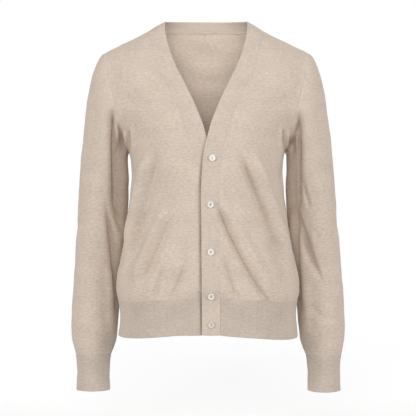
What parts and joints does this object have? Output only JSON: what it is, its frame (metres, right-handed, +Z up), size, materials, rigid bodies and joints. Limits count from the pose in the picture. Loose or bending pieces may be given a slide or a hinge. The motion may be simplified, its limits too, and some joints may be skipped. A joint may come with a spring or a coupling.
{
  "type": "v-neck button-through cardigan",
  "caption": "Fine-knit V-neck cardigan in beige, long set-in sleeves, ribbed hem, cuffs and button bands, buttoned, in its hollow worn shape.",
  "frame": {"origin": "midway between the two high shoulder points, the inner edges of the neck opening on the shoulder line, where the wearer's shoulders carry the garment", "axes": "+Z up along the body, +X to the wearer's left, +Y to the wearer's back; the buttoned front faces -Y"},
  "size_m": [0.5112, 0.2318, 0.6916],
  "materials": {
    "jersey": "fine melange knit, matte, slightly fuzzy",
    "rib": "fine 1x1 rib knit, matte",
    "button": "pearly white, semi-gloss"
  },
  "bodies": {
    "root": {"back": "jersey", "front_left": "jersey", "front_right": "jersey", "sleeve_left": "jersey", "sleeve_right": "jersey", "hem_back": "rib", "hem_front_left": "rib", "hem_front_right": "rib", "cuff_left": "rib", "cuff_right": "rib", "band_left": "rib", "band_right": "rib", "neckband_back": "rib", "button_1": "button", "button_2": "button", "button_3": "button", "button_4": "button", "button_5": "button"}
  },
  "joints": []
}
